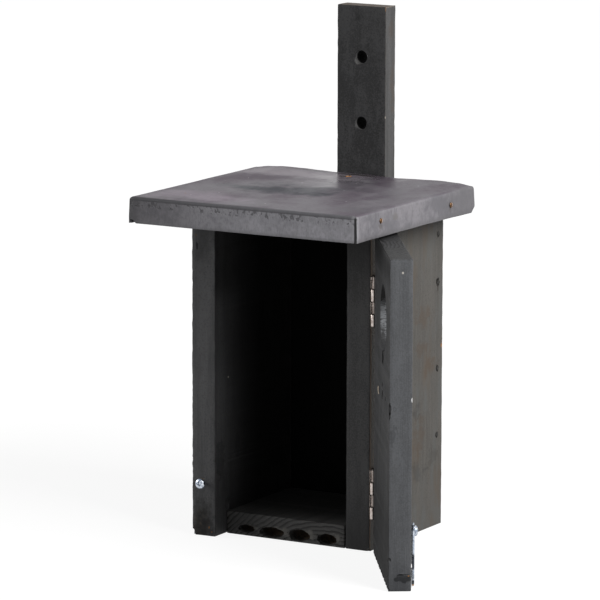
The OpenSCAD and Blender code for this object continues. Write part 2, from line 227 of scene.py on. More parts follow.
def soften(piece, width, degrees):
    """Rounds the edges where the surface turns by more than the angle."""
    apply_modifier(piece, "BEVEL", width=width, segments=2, limit_method="ANGLE",
                   angle_limit=radians(degrees))


def smooth(piece, degrees=35):
    pick(piece)
    bpy.ops.object.shade_smooth_by_angle(angle=radians(degrees))


def gouge(piece, middle, size, seed, rough=0.25, turn=0.0):
    """Tears out a ragged hollow, given its middle and half-lengths in millimetres."""
    bpy.ops.object.select_all(action="DESELECT")
    bpy.ops.mesh.primitive_ico_sphere_add(subdivisions=3, radius=1, location=(seed, 0, 0))
    tool = settle("gouge")
    torn = bpy.data.textures.new("torn", "CLOUDS")
    torn.noise_scale = 0.5
    apply_modifier(tool, "DISPLACE", texture=torn, texture_coords="LOCAL", strength=rough, mid_level=0.5)
    tool.location.x = -seed
    settle("gouge", tool)
    tool.scale, tool.rotation_euler, tool.location = Vector(size) / 1000, (turn, 0, 0), place(*middle)
    cut_out(piece, settle("gouge", tool))


def sawn_board(name, low, high, grain, step=0.0045):
    """A board with softened arrises and cuts across its grain, so that sawing can ripple it."""
    board = block(name, low, high)
    arris, beside_arris = 0.0006, 0.003
    for axis in range(3):
        places = [low[axis] + beside_arris, high[axis] - beside_arris]
        if axis == grain:
            length = high[axis] - low[axis]
            steps = int(length / step)
            places += [low[axis] + length * i / steps for i in range(1, steps)]
        cut_across(board, axis, sorted(places))
    soften(board, arris, 60)
    return board


def rough_sawn(board, depth, grain_size):
    """Sinks the surface here and there by up to the depth, never outwards."""
    saw_marks = bpy.data.textures.new(board.name + "_saw", "CLOUDS")
    saw_marks.noise_scale, saw_marks.noise_depth = grain_size, 2
    apply_modifier(board, "DISPLACE", texture=saw_marks, texture_coords="LOCAL", strength=depth, mid_level=1)
    smooth(board)


def finish_piece(piece, body, node):
    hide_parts(node)
    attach(piece, body)


def paint(colour, times=1.0):
    """A colour as the nodes take it. One number stands for a grey."""
    parts = (colour,) * 3 if isinstance(colour, (int, float)) else colour
    return (*(part * times for part in parts), 1)


class Pattern(Nodes):
    """Nodes that draw masks and noise about one place in the object."""

    def __init__(self, tree, where):
        super().__init__(tree)
        self.where = where

    def times(self, *values):
        return self.calc("MULTIPLY", *values)

    def plus(self, *values):
        return self.calc("ADD", *values)

    def minus(self, *values):
        return self.calc("SUBTRACT", *values)

    def vector(self, operation, first, second=None):
        made = self.node("VectorMath", {0: first, 1: second}, operation=operation)
        return made.outputs["Value" if operation in ("LENGTH", "DOT_PRODUCT") else "Vector"]

    def noise(self, scale, detail=3, roughness=0.55, factors=(1, 1, 1), where=None):
        """Noise that is drawn out along an axis whose factor is under 1."""
        at = self.vector("MULTIPLY", self.where if where is None else where, factors)
        fed = {"Vector": at, "Scale": scale, "Detail": detail, "Roughness": roughness}
        return self.node("TexNoise", fed).outputs[0]

    def mix(self, share, first, second):
        return self.node("Mix", {0: share, 6: first, 7: second}, data_type="RGBA").outputs[2]

    def group(self, pattern, **fed):
        """A node group at this place, unless fed another, with _ for a space in input names."""
        named = {name.replace("_", " "): value for name, value in {"Vector": self.where, **fed}.items()}
        return self.node("Group", named, node_tree=pattern.tree).outputs


def new_group(name, inputs, outputs):
    """A node group to draw a pattern in, with its inputs and outputs."""
    tree = bpy.data.node_groups.new(name, "ShaderNodeTree")
    for label, value in {"Vector": (0, 0, 0), **inputs}.items():
        kind = "NodeSocketVector" if isinstance(value, tuple) else "NodeSocketFloat"
        tree.interface.new_socket(label, in_out="INPUT", socket_type=kind).default_value = value
    for label in outputs:
        tree.interface.new_socket(label, in_out="OUTPUT", socket_type="NodeSocketFloat")
    given = tree.nodes.new("NodeGroupInput").outputs
    return Pattern(tree, given["Vector"]), given, tree.nodes.new("NodeGroupOutput").inputs


# Softwood: rings round a pith that runs along Z, with streaks and fibres drawn out along it
softwood, given, result = new_group(
    "softwood_grain", {"Pith": (0, 0, 0), "Ring Width": 0.003, "Wander": 0.009}, ("Ring", "Streak", "Fibre"))
from_pith = softwood.vector("SUBTRACT", given["Vector"], given["Pith"])
radius = softwood.vector("LENGTH", softwood.vector("MULTIPLY", from_pith, (1, 1, 0)))
wander = softwood.times(softwood.noise(45, 2, factors=(1, 1, 0.16)), given["Wander"])
rings = softwood.calc("DIVIDE", softwood.plus(radius, wander), given["Ring Width"])
softwood.feed(result["Ring"], softwood.calc("POWER", softwood.calc("FRACT", rings), 3))
softwood.feed(result["Streak"], softwood.noise(170, 4, 0.6, (1, 1, 0.05)))
softwood.feed(result["Fibre"], softwood.noise(1200, 2, 0.6, (1, 1, 0.05)))

# Arris wear: strongest where two faces of the board meet, and broken up by noise
arris_wear, given, result = new_group(
    "arris_wear", {"Low": (0, 0, 0), "High": (0, 0, 0), "Reach": 0.002}, ("Mask",))
above_low = arris_wear.vector("SUBTRACT", given["Vector"], given["Low"])
below_high = arris_wear.vector("SUBTRACT", given["High"], given["Vector"])
gaps = arris_wear.node("SeparateXYZ", {0: arris_wear.vector("MINIMUM", above_low, below_high)}).outputs
middle_gap = arris_wear.minus(
    arris_wear.plus(*gaps), arris_wear.calc("MINIMUM", *gaps), arris_wear.calc("MAXIMUM", *gaps))
broken = arris_wear.minus(arris_wear.times(arris_wear.noise(260, 4, 0.65), 2.4), 0.6)
arris_wear.feed(result["Mask"], arris_wear.ease(middle_gap, arris_wear.times(given["Reach"], broken), 0.0))

# Ragged mark: a spot with torn edges round a centre, as a chip, fleck or stain has
ragged_mark, given, result = new_group("ragged_mark", {
    "Centre": (0, 0, 0), "Size": (0.01, 0.01, 0.01), "Raggedness": 0.5, "Detail Scale": 400,
    "Softness": 0.25}, ("Mask",))
from_centre = ragged_mark.vector("SUBTRACT", given["Vector"], given["Centre"])
share_out = ragged_mark.vector("LENGTH", ragged_mark.vector("DIVIDE", from_centre, given["Size"]))
torn_by = ragged_mark.times(
    ragged_mark.minus(ragged_mark.noise(given["Detail Scale"]), 0.5), given["Raggedness"])
inner_edge = ragged_mark.minus(1.0, given["Softness"])
ragged_mark.feed(result["Mask"], ragged_mark.ease(ragged_mark.plus(share_out, torn_by), 1.0, inner_edge))


class Finish(Pattern):
    """A material painted in layers: its own colour first, and then each cover and mark.

    Shut holds the turn and the shift that bring a place on the open door back to the shut one.
    """

    def __init__(self, name, shut=None):
        self.material = bpy.data.materials.new(name)
        self.material.use_nodes = True
        super().__init__(self.material.node_tree, None)
        self.where = self.node("TexCoord", {}).outputs["Object"]
        if shut:
            turned_back = {"Vector": self.where, "Rotation": (0, 0, shut[0]), "Location": shut[1]}
            self.where = self.node("Mapping", turned_back, vector_type="POINT").outputs[0]
        self.axes = dict(zip("xyz", self.node("SeparateXYZ", {0: self.where}).outputs))

    def zone(self, axis, start, end, low=0.0, high=1.0):
        """Fades from low to high between two places along an axis, in the box's millimetres."""
        first, last = (place(at, at, at)["xyz".index(axis)] for at in (start, end))
        return self.ease(self.axes[axis], first, last, low, high)

    def cover(self, mask, colour, strength=1.0):
        share = self.times(mask, strength) if strength < 1 else mask
        self.colour = self.mix(share, self.colour, paint(colour))

    def patch(self, centre, size, raggedness=0.5, detail=400, softness=0.25):
        """The mask of a ragged mark, given its centre and half-lengths in millimetres."""
        at = centre if isinstance(centre, Vector) else place(*centre)
        return self.group(ragged_mark, Centre=at, Size=[half / 1000 for half in size],
                          Raggedness=raggedness, Detail_Scale=detail, Softness=softness)["Mask"]

    def mark(self, centre, size, colour, strength=1.0, *edge):
        """A mark on the surface. The edge's values are those that a patch takes."""
        mask = self.times(self.patch(centre, size, *edge), strength)
        self.cover(mask, colour)
        return mask

    def marks(self, *rows):
        for row in rows:
            self.mark(*row)

    def wire(self, roughness, relief, height, strength, **looks):
        """Feeds the shader with the colour, the roughness and a relief of that height."""
        bump = self.node("Bump", {"Height": relief, "Distance": height, "Strength": strength})
        self.shade("Principled BSDF", Base_Color=self.colour, Roughness=roughness,
                   Normal=bump.outputs[0], **looks)

    def lay_on(self, *pieces):
        for piece in pieces:
            piece.data.materials.clear()
            piece.data.materials.append(self.material)


class WoodFinish(Finish):
    """Stained wood: the stain over the grain first, and then each mark on it."""

    turns = ((0, pi / 2, 0), (pi / 2, 0, 0), (0, 0, 0))      # brings grain along X, Y or Z to Z

    def __init__(self, name, low, high, axis, pith, stain, spread=0.2, ring_show=0.12,
                 ring_width=0.0032, end_tones=(0.35, 0.9), wear=0.0014, worn=(0.15, 0.14, 0.13),
                 wander=0.009, shut=None):
        super().__init__(name, shut)
        turned = {"Vector": self.where, "Rotation": self.turns[axis]}
        self.along = self.node("Mapping", turned, vector_type="POINT").outputs[0]
        grown = self.group(softwood, Vector=self.along, Pith=pith, Ring_Width=ring_width, Wander=wander)
        ring, streak, fibre = grown["Ring"], grown["Streak"], grown["Fibre"]
        cloudy = self.noise(30, 4, 0.6, (1, 1, 0.4), self.along)
        tone = self.ease(self.plus(self.times(streak, 0.6), self.times(cloudy, 0.4)), 0.38, 0.62)
        self.colour = self.mix(tone, paint(stain, 1 - spread), paint(stain, 1 + spread))
        self.cover(self.times(ring, ring_show), [part * 0.25 for part in stain])
        self.cover(self.ease(fibre, 0.54, 0.76, 0.0, 0.32), [part * 1.9 for part in stain])
        speckle = self.ease(self.noise(750, 3, 0.7), 0.48, 0.7, 0.0, 0.6)
        self.cover(speckle, [part * 0.55 for part in stain])
        at = self.axes["xyz"[axis]]
        from_end = self.calc("MINIMUM", self.minus(at, low[axis]), self.minus(high[axis], at))
        dark_ring = self.ease(self.plus(ring, self.times(self.noise(900, 3, 0.7), 0.5)), 0.25, 0.8)
        end_colour = self.mix(dark_ring, paint(stain, end_tones[1]), paint(stain, end_tones[0]))
        self.colour = self.mix(self.ease(from_end, 0.0012, 0.0007), self.colour, end_colour)
        self.cover(self.group(arris_wear, Low=low, High=high, Reach=wear)["Mask"], worn, 0.5)
        self.height = self.plus(self.times(ring, 0.2), self.times(fibre, 0.4), self.times(streak, 0.4))
        self.roughness = self.plus(0.5, self.times(streak, 0.25))

    def cover_unevenly(self, mask, colour, spread):
        """A cover that lies patchy on the wood, as thin stain does. The door's inner face gets its painted
        shade this way too.
        """
        patches = self.noise(90, 5, 0.7, (1, 1, 0.35), self.along)
        uneven = self.times(self.plus(patches, self.noise(800, 3, 0.7)), 0.5)
        tone = self.ease(uneven, 0.42, 0.58)
        patchy = self.mix(tone, paint(colour, 1 - spread), paint(colour, 1 + spread))
        self.colour = self.mix(mask, self.colour, patchy)

    def blotches(self, colour, scale, start, end, strength):
        """Old stains that have run along the grain."""
        cloud = self.noise(scale, 4, 0.55, (1, 1, 0.3), self.along)
        self.cover(self.ease(cloud, start, end, 0.0, strength), colour)

    def from_bore(self, z):
        """How far a place lies from the axis of a bore along Y, in the middle at that height."""
        offset = self.vector("SUBTRACT", self.where, place(0, 0, z))
        return self.vector("LENGTH", self.vector("MULTIPLY", offset, (1, 0, 1)))

    def dull(self, mask, by):
        self.roughness = self.plus(self.roughness, self.times(mask, by))

    def mark(self, *spot, sink=0.0):
        """Marked wood is duller too, and may be sunk."""
        mask = super().mark(*spot)
        self.dull(mask, 0.35)
        if sink:
            self.height = self.minus(self.height, self.times(mask, sink))

    def stain(self, piece, bump=0.00035, gloss=0.22):
        self.wire(self.roughness, self.height, bump, 0.8, Specular_IOR_Level=gloss)
        self.lay_on(piece)


painted_inside_shade, bare_wood, old_hole = (0.027, 0.027, 0.028), (0.20, 0.15, 0.105), 0.008
rust_brown, pale_fleck = (0.33, 0.16, 0.06), (0.55, 0.52, 0.47)

low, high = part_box("left_wall")
left_wall = sawn_board("left_wall_board", low, high, 2, step=0.003)
for chip in (((-77.2, -18.2, 1.2), (3.5, 3.2, 3.5), 3), ((-77.3, -17, 41), (0.7, 1.6, 2.2), 5),
             ((-76.9, -18.4, 62), (0.8, 1.6, 3), 7), ((-54.8, -2, 60), (0.6, 4, 13), 9),
             ((-54.9, 3, 22), (0.7, 2, 6), 2)):
    gouge(left_wall, *chip)
rough_sawn(left_wall, 0.0011, 0.005)
wood = WoodFinish("left_wall_stain", low, high, 2, (-0.03, -0.05, 0), (0.125, 0.125, 0.128))
# Painted shade on the inner face: it darkens from the front edge inwards and goes near black deep in the
# box.
inside = wood.times(wood.zone("x", -56.3, -55.6), wood.zone("y", -12, 33, 0.35, 1.0))
wood.cover(inside, painted_inside_shade)
wood.cover(wood.times(inside, wood.zone("y", 16, 56)), 0.001)
bare_fibres = wood.ease(wood.noise(900, 4, 0.7, (1, 1, 0.3)), 0.46, 0.6)
chipped_foot = wood.patch((-69, -18, 9), (11, 6, 17), 1.0, 260, 0.9)
wood.cover(wood.times(bare_fibres, chipped_foot), (0.17, 0.135, 0.10))
wood.marks(
    # The first three marks are painted shade: the front edge darkens towards its foot and towards its top.
    ((-66, -18, 4), (14, 6, 24), (0.022, 0.022, 0.023), 0.85, 1.0, 200, 0.9),
    ((-66, -18, 20), (16, 6, 20), (0.05, 0.048, 0.046), 0.45, 2.0, 160, 0.9),
    ((-66, -18, 240), (12, 6, 30), (0.06, 0.06, 0.062), 0.5, 1.0, 120, 0.9),
    ((-61, -18, 7.5), (0.8, 2, 1.2), rust_brown, 0.9, 0.6, 900),
    ((-58.5, -18, 4), (0.8, 2, 0.7), rust_brown, 0.8, 0.6, 900),
    ((-66, -18, 24), (10, 4, 8), old_hole, 0.22, 3.2, 420, 0.8),
    ((-67.5, -18, 46.5), (2.6, 3, 1.4), bare_wood, 0.6, 1.2, 500),
    ((-55, -9, 62), (3, 9, 17), 0.012, 0.33, 1.5, 220),
    ((-55, 18, 70), (3, 5, 11), 0.012, 0.33, 1.5, 220),
    ((-55, 2, 24), (3, 4, 7), 0.012, 0.33, 1.5, 220),
    ((-55, 3.5, 128), (2, 1, 1), pale_fleck, 1.0, 0.4, 700),
    ((-73, -18, 245), (1.2, 3, 1), bare_wood, 0.6, 0.6, 500),
    ((-72, -18, 236), (1, 3, 5), old_hole, 0.6, 2.0, 300))
wood.stain(left_wall)
finish_piece(left_wall, "box", "left_wall")

low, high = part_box("right_wall")
right_wall = sawn_board("right_wall_board", low, high, 2)
for chip in (((77.1, 121.2, 166), (0.6, 0.9, 6), 4), ((77.1, 121.3, 150), (0.8, 1.2, 4), 8),
             ((77.6, -0.6, -0.4), (4, 3.6, 3.6), 12)):
    gouge(right_wall, *chip)
rough_sawn(right_wall, 0.0006, 0.005)
wood = WoodFinish("right_wall_stain", low, high, 2, (0.03, -0.02, 0), (0.100, 0.094, 0.086), 0.14)
wood.blotches((0.100, 0.083, 0.067), 48, 0.48, 0.62, 0.75)
wood.blotches((0.105, 0.108, 0.106), 75, 0.5, 0.66, 0.6)
wood.mark((77, 40, 60), (3, 14, 22), (0.075, 0.077, 0.08), 0.4, 3.0, 90, 0.9)
for y, z, half_y, half_z, colour in (
        (87, 175, 16, 10, (0.112, 0.082, 0.062)), (99, 134, 14, 12, (0.115, 0.084, 0.063)),
        (81, 79, 12, 22, (0.112, 0.084, 0.064)), (83, 152, 12, 8, (0.110, 0.084, 0.066)),
        (77, 100, 7, 8, 0.064), (80, 50, 13, 9, (0.066, 0.068, 0.068)),
        (62, 210, 12, 10, (0.108, 0.084, 0.066)), (104, 60, 10, 14, (0.078, 0.074, 0.068))):
    wood.mark((77, y, z), (3, half_y, half_z), colour, 0.42, 3.2, 150, 0.8)
for nail_z, dent in ((240, 2.4), (201, 3.2), (130, 2.6), (75, 2.4)):
    wood.mark((77, 112, nail_z), (3, dent, dent * 1.2), (0.010, 0.009, 0.008), 0.95, 0.9, 500, sink=2)
wood.marks(
    ((77, 112, 196), (3, 1.5, 4), (0.05, 0.045, 0.04), 0.6, 1.2, 300),
    ((77, 119, 148), (3, 1.4, 1.8), rust_brown, 0.9, 0.8, 600),
    ((77, 60, 226), (3, 0.9, 1.3), (0.02, 0.018, 0.016), 0.7, 0.8, 600))
front = wood.zone("y", 1.2, 0.7)
wood.cover_unevenly(wood.times(front, 0.9), (0.094, 0.094, 0.096), 0.25)
# Painted shade on the front edge: darker near its top and its foot, and along its outer arris beside the
# open door.
shaded_ends = wood.calc("MAXIMUM", wood.zone("z", 63, -12), wood.zone("z", 193, 258))
wood.cover(wood.times(front, shaded_ends), 0.010, 0.9)
wood.cover(wood.times(front, wood.zone("x", 75.5, 76.3)), 0.010, 0.85)
# A strip of bare wood by the front arris, made lighter still as painted light, because the open door shades
# it.
bare_arris_painted_light = wood.times(wood.zone("y", 3.5, 1.5), wood.zone("x", 76.2, 76.8))
wood.cover(bare_arris_painted_light, (0.36, 0.28, 0.22), 0.8)
# Painted shade on the inner face.
wood.cover(wood.zone("x", 56.3, 55.6), painted_inside_shade)
wood.stain(right_wall)
finish_piece(right_wall, "box", "right_wall")

# Back panel
# One board between the side walls, flush with them at the rear and nailed through them. It is
# stained like the walls, and the hanging batten is screwed to it from behind.
low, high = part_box("back_panel")
back_panel = sawn_board("back_panel_board", low, high, 2)
rough_sawn(back_panel, 0.0004, 0.006)
wood = WoodFinish("back_panel_stain", low, high, 2, (0.0, 0.02, 0), (0.125, 0.125, 0.126))
# The inner face is painted near black as shade, and painted light lifts its right-hand part again.
inner = wood.zone("y", 104.5, 103.5)
wood.cover(inner, 0.004)
wood.cover(wood.times(inner, wood.zone("x", 0, 48, 0.0, 0.9)), (0.125, 0.125, 0.135))
wood.stain(back_panel, gloss=0.03)
finish_piece(back_panel, "box", "back_panel")

# Floor board
# The floor lies between the walls with its grain from front to rear, so its front edge shows end
# grain. Four scoops are torn out of its lower front edge, and their wood is bare inside.
low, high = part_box("floor_board")
floor_board = sawn_board("floor_board_plank", low, high, 1)
scoops = ((-36.5, 6.0, 7.4, 3.0), (-13.0, 5.4, 11.2, 4.3), (12.8, 5.8, 9.6, 4.9), (38.0, 5.6, 8.8, 4.5))
for number, (x, z, half_w, half_h) in enumerate(scoops):
    gouge(floor_board, (x, 0.3, z), (half_w, 7.5, half_h), 11 + 2 * number, 0.35)
rough_sawn(floor_board, 0.0005, 0.004)
wood = WoodFinish("floor_board_stain", low, high, 1, (0.042, 0.460, 0), (0.13, 0.128, 0.125),
                  ring_show=0.5, ring_width=0.0034, end_tones=(0.12, 1.15), wander=0.007)
# Painted shade on the top inside the box, darker towards the back.
wood.cover(wood.times(wood.zone("z", 18.3, 18.8), wood.zone("y", 1, 43, 0.4, 0.97)), 0.006)
for x, z, half_w, half_h in scoops:
    # Each scoop gets a painted highlight on its rim and painted shade in its pit; the brown of its bare wood
    # is its own colour.
    rim_painted_highlight = (x + half_w * 0.75, 0, z + 1.6), (half_w * 0.95, 3, half_h)
    wood.mark(*rim_painted_highlight, (0.42, 0.405, 0.38), 0.9, 1.7, 260, 0.6)
    wood.mark((x, 4.6, z), (half_w * 1.1, 4.4, half_h * 1.2), (0.030, 0.026, 0.023), 1.0, 0.35, 300)
    bare_inside = (x + 1, 5, z), (half_w * 0.8, 4.6, half_h * 0.8)
    wood.mark(*bare_inside, (0.095, 0.065, 0.042), 0.6, 2.6, 520, sink=1)
wood.stain(floor_board, bump=0.0005)
finish_piece(floor_board, "box", "floor_board")

# Nails
# Steel wire nails hold the walls to the back panel and the floor, and the roof to the walls. They
# were driven before the stain went on, so it covers their heads.
steel = Finish("stained_nail_steel")
spots = steel.noise(900)
steel_colour = steel.mix(
    steel.ease(spots, 0.4, 0.65), paint((0.008, 0.008, 0.007)), paint((0.030, 0.026, 0.022)))
steel.shade("Principled BSDF", Base_Color=steel_colour, Metallic=0.5,
            Roughness=steel.ease(spots, 0.4, 0.65, 0.45, 0.8))
steel.lay_on(*(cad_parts[name] for name in ("left_wall_nails", "right_wall_nails", "roof_nails")))

# Roof board
# A plain unstained board that overhangs the walls on both sides and in front. The sheet covers it
# apart from its underside and its rear edge.
low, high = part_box("roof_board")
roof_board = sawn_board("roof_plank", low, high, 0)
rough_sawn(roof_board, 0.0003, 0.006)
wood = WoodFinish("roof_plank_wood", low, high, 0, (-0.15, -0.1, 0), (0.13, 0.12, 0.105), ring_show=0.35)
wood.blotches((0.07, 0.068, 0.065), 30, 0.48, 0.6, 0.7)
wood.stain(roof_board)
finish_piece(roof_board, "box", "roof_board")

# Roof sheet
# One piece of 2 mm rubber sheet lies on the roof board. Its front and its two sides are folded
# down over the board's edges and meet in a cut at each front corner. Its rear edge is loose.
sheet_thick, sheet_centre_x, half_across, depth = 2, 1.75, 101.25, 193
board_front, board_rear, sheet_z = -71, 121, 280
fold_r, flap_fall, seam_gap = 1.4, 20.0, 0.22
fold_run = fold_r * pi / 2
flap_run = fold_run + flap_fall - fold_r
across_flat, depth_flat = half_across - fold_r + flap_run, depth - fold_r + flap_run
side_fold, front_fold = half_across - fold_r, depth_flat / 2 - (depth - fold_r)
side_tacks = ((-33.23, 272.5, 0.0), (81.23, 270.0, 0.55))      # along Y, height, stand-off
tack_places = [(side * (side_fold + fold_run + sheet_z - tack_z - fold_r),
                depth_flat / 2 - (board_rear - tack_y))
               for side in (-1, 1) for tack_y, tack_z, _ in side_tacks]
rear_line = ((-1, 0.1), (-0.86, 1.8), (-0.72, 2.4), (-0.54, 2.0), (-0.4, 1.5), (-0.25, 1.1), (0, 1.4),
             (0.3, 0.3), (0.52, 0.7), (0.71, 1.1), (0.87, 0.6), (1, -0.9))


def folded(run, edge):
    """How far out and how far down a point lies that is run along the sheet from its middle."""
    past = run - (edge - fold_r)
    if past <= 0:
        return run, 0.0
    if past < fold_run:
        return edge - fold_r + fold_r * sin(past / fold_r), fold_r * (1 - cos(past / fold_r))
    return edge, fold_r + past - fold_run


def rear_lift(share):
    """How far the loose rear edge stands above the board, from the left side to the right."""
    for (start, lift_0), (end, lift_1) in zip(rear_line, rear_line[1:]):
        if share <= end:
            t = max(0, (share - start) / (end - start))
            return lift_0 + (lift_1 - lift_0) * t * t * (3 - 2 * t)
    return rear_line[-1][1]


def tack_dents(u, v):
    """The rubber is pressed in round each tack."""
    dent, spread = 0.35, 12
    squares = ((u - tack_u) ** 2 + (v - tack_v) ** 2 for tack_u, tack_v in tack_places)
    return sum(dent * exp(-square / spread) for square in squares)


def edit_faces(piece, wanted):
    """Opens the piece for editing, with the wanted faces picked."""
    begin_edit(piece, "DESELECT")
    end_edit()
    for face in piece.data.polygons:
        face.select = wanted(face)
    bpy.ops.object.mode_set(mode="EDIT")


def face_outwards(piece):
    begin_edit(piece)
    bpy.ops.mesh.normals_make_consistent(inside=False)
    end_edit()


bpy.ops.object.select_all(action="DESELECT")
bpy.ops.mesh.primitive_grid_add(x_subdivisions=96, y_subdivisions=84, size=1, location=(0, 0, 0))
bpy.context.object.scale = (2 * across_flat, depth_flat, 1)
sheet = settle("rubber_roof_sheet")
bends = [fold_run * i / 4 for i in range(5)]
cut_across(sheet, 0, [-side_fold - bend for bend in bends] + [side_fold + bend for bend in bends])
cut_across(sheet, 1, [front_fold - bend for bend in bends])
just_past, near_corner = 0.01, 14
edit_faces(sheet, lambda face: abs(face.center.x) - side_fold > just_past
           and front_fold - face.center.y > just_past)
bpy.ops.mesh.delete(type="FACE")
end_edit()
# Each trimmed corner: where it is, how far in from it the cut starts, and the way the cut faces
trimmed = [((side * across_flat, depth_flat / 2), (side * 4.8, 0), (side * 0.75, 0.66))
           for side in (-1, 1)]
trimmed.append(((-side_fold, -depth_flat / 2), (-3.4, 0), (-0.7, -0.7)))
for (corner_u, corner_v), (cut_u, cut_v), facing in trimmed:
    edit_faces(sheet, lambda face: abs(face.center.x - corner_u) < near_corner
               and abs(face.center.y - corner_v) < near_corner)
    bpy.ops.mesh.bisect(
        plane_co=(corner_u - cut_u, corner_v - cut_v, 0), plane_no=(*facing, 0), clear_outer=True)
    end_edit()
front_cut = sheet.vertex_groups.new(name="front_cut")
side_cut = sheet.vertex_groups.new(name="side_cut")
loose_share, most_flare, most_belly, top_wave = 0.55, 0.9, 0.4, 0.18
for vertex in sheet.data.vertices:
    u, v, _ = vertex.co
    side = 1 if u > 0 else -1
    out_x, down_side = folded(abs(u), half_across)
    out_y, down_front = folded(depth_flat / 2 - v, depth)
    if abs(abs(u) - side_fold) < just_past and v < front_fold - just_past:
        front_cut.add([vertex.index], 1, "REPLACE")
    if abs(v - front_fold) < just_past and abs(u) > side_fold + just_past:
        side_cut.add([vertex.index], 1, "REPLACE")
    loose = max(0, 1 - out_y / depth / loose_share) ** 2
    rise = loose * rear_lift(side * min(1, out_x / half_across))
    if down_side + down_front < 0.1:
        rise += top_wave * sin(u * 0.06 + 1.3) * sin(v * 0.045)
    hang = min(1, down_side / 15)
    flare = loose * hang + 0.45 * hang * sin(u * 0.013 + v * 0.075) ** 2
    if down_side > 1:
        flare -= tack_dents(u, v)
    belly = most_belly * min(1, down_front / 14) * sin(u * 0.05 + 1.0) ** 2
    vertex.co = (side * (out_x + min(flare, most_flare)), board_rear - out_y - belly,
                 sheet_z + rise - down_side - down_front)
apply_modifier(sheet, "SOLIDIFY", thickness=sheet_thick, offset=0)
half_board = half_across - sheet_thick / 2
for vertex in sheet.data.vertices:
    x, y, z = vertex.co
    cuts = {sheet.vertex_groups[member.group].name for member in vertex.groups}
    if "front_cut" in cuts:
        x = (1 if x > 0 else -1) * (half_board + board_front - y - seam_gap)
    elif "side_cut" in cuts:
        y = board_front - (abs(x) - half_board) + seam_gap
    vertex.co = place(sheet_centre_x + x, y, z)
face_outwards(sheet)
soften(sheet, 0.0004, 62)
smooth(sheet, 40)

rubber = Finish("roof_rubber")
dusty = rubber.noise(26, 5, 0.6)
mottled = rubber.noise(170, 4, 0.65)
wiped = rubber.noise(520, 3, 0.6, (1, 1, 0.45))
dust_tone = rubber.ease(rubber.plus(rubber.times(dusty, 0.6), rubber.times(mottled, 0.4)), 0.4, 0.62)
rubber.colour = rubber.mix(dust_tone, paint((0.136, 0.131, 0.144)), paint((0.235, 0.224, 0.240)))
rubber.cover(rubber.ease(wiped, 0.5, 0.72, 0.0, 0.5), (0.10, 0.10, 0.106))
# The top is painted darker than the flaps as shade, mottled by noise.
top_shade_mottle = rubber.ease(rubber.noise(20, 5, 0.62, (1, 0.6, 1)), 0.36, 0.62, 0.9, 0.3)
rubber.cover(rubber.times(rubber.zone("z", 279.6, 280.6), top_shade_mottle), (0.072, 0.055, 0.073))
smudge = rubber.mark((0, 25, 281), (64, 34, 12), (0.034, 0.036, 0.044), 0.85, 2.1, 46, 0.8)
rubber.marks(
    ((-50, 100, 281), (80, 26, 12), (0.38, 0.345, 0.375), 0.55, 1.4, 30, 0.8),
    ((-45, 20, 281), (44, 12, 12), (0.036, 0.038, 0.046), 0.8, 2.2, 50, 0.7),
    ((-60, -40, 281), (70, 30, 12), (0.31, 0.26, 0.31), 0.5, 1.8, 34, 0.7))
in_front, on_right = rubber.zone("y", -70.8, -71.5), rubber.zone("x", 103.0, 103.6)
# Painted light and sheen on the front flap: much lighter than the sheet, fading towards the left.
front_painted_light = rubber.times(rubber.zone("x", -120, 60), rubber.plus(0.62, rubber.times(dust_tone, 0.38)))
rubber.cover(rubber.times(front_painted_light, in_front), (0.52, 0.51, 0.55))
dimple_band = rubber.times(rubber.zone("z", 271.8, 274), rubber.zone("z", 278.8, 277.6))
dimple_spots = rubber.ease(rubber.noise(330, 2, 0.5, (1, 1, 0.7)), 0.52, 0.64)
dimples = rubber.times(dimple_band, dimple_spots, in_front)
rubber.cover(dimples, (0.035, 0.035, 0.037), 0.6)
# Painted shade: a dark line in the fold under the front edge.
crease_shade = rubber.times(rubber.zone("y", -70.5, -71.2), rubber.zone("z", 277.8, 278.5))
rubber.cover(crease_shade, (0.040, 0.040, 0.043), 0.8)
strokes = rubber.ease(rubber.noise(700, 4, 0.7, (1, 1, 0.4)), 0.45, 0.65, 0.0, 0.25)
rubber.cover(rubber.times(in_front, strokes), (0.07, 0.07, 0.073))
# Painted highlight along the front flap's lower edge.
rubber.cover(rubber.times(rubber.zone("z", 263, 261.2), in_front), (0.30, 0.30, 0.31), 0.35)
# Painted shade at the left end of the front flap.
left_end_shade = rubber.times(in_front, rubber.zone("x", -85, -99.5, 0.0, 0.45))
rubber.cover(left_end_shade, (0.05, 0.05, 0.052))
